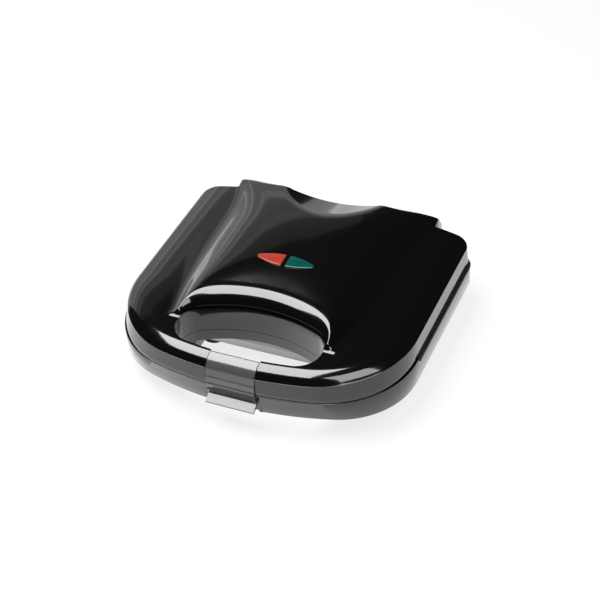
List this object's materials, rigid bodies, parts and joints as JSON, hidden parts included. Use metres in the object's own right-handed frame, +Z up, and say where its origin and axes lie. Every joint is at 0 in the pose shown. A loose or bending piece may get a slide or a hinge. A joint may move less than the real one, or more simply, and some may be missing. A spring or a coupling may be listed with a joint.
{
  "type": "sandwich_toaster",
  "caption": "Countertop sandwich toaster with a hinged domed lid, a through handle, triangle plates, lamps and a front clip, shut.",
  "frame": {"origin": "On the table under the middle of the toaster, half way across it and half way from the clip to the hinge", "axes": "X to the right along the hinge, Y from the clip at the front to the hinge at the back, Z up"},
  "size_m": [0.2264, 0.2132, 0.074],
  "materials": {
    "black_gloss": "Moulded near-black plastic with a high gloss",
    "black_matte": "Dull black moulded plastic",
    "clip_gloss": "Satin black moulded plastic",
    "nonstick": "Cast aluminium with a black non-stick coat",
    "steel_dull": "Plain steel, lightly dulled",
    "shield_alu": "Thin bright aluminised sheet",
    "cream_plastic": "Heat-proof cream plastic",
    "black_rubber": "Soft black rubber",
    "red_lens": "Clear red plastic",
    "green_lens": "Clear green plastic",
    "lamp_glass": "Clear glass of a small neon lamp"
  },
  "bodies": {
    "base": {"base_housing": "black_gloss", "lower_plate": "nonstick", "lower_element": "steel_dull", "lower_clamp": "steel_dull", "lower_clamp_screw": "steel_dull", "lower_heat_shield": "shield_alu", "lower_plate_screws": "steel_dull", "base_handle_cover": "black_matte", "base_cover_screws": "steel_dull", "terminal_block": "cream_plastic", "cord_gland": "black_rubber", "foot_front_left": "black_rubber", "foot_front_right": "black_rubber", "foot_rear_left": "black_rubber", "foot_rear_right": "black_rubber", "hinge_pin_left": "steel_dull", "hinge_pin_right": "steel_dull"},
    "lid": {"lid_housing": "black_gloss", "upper_plate": "nonstick", "upper_element": "steel_dull", "upper_clamp": "steel_dull", "upper_clamp_screw": "steel_dull", "upper_heat_shield": "shield_alu", "upper_plate_screws": "steel_dull", "lid_handle_cover": "black_matte", "lid_cover_screws": "steel_dull", "thermostat": "cream_plastic", "thermal_fuse": "steel_dull", "red_lens": "red_lens", "green_lens": "green_lens", "red_lamp": "lamp_glass", "green_lamp": "lamp_glass", "lamp_holder": "cream_plastic", "lamp_holder_screws": "steel_dull", "clip_pin": "steel_dull"},
    "clip": {"clip": "clip_gloss", "clip_spring": "steel_dull"}
  },
  "joints": [
    {"name": "lid_hinge", "type": "hinge", "parent": "base", "child": "lid", "pos_m": [0, 0.097, 0.0457], "axis": [-1, 0, 0], "range_deg": [0, 100]},
    {"name": "clip_pivot", "type": "hinge", "parent": "lid", "child": "clip", "pos_m": [0, -0.095, 0.0499], "axis": [-1, 0, 0], "range_deg": [0, 18], "stiffness_Nm_per_rad": 0.12}
  ]
}
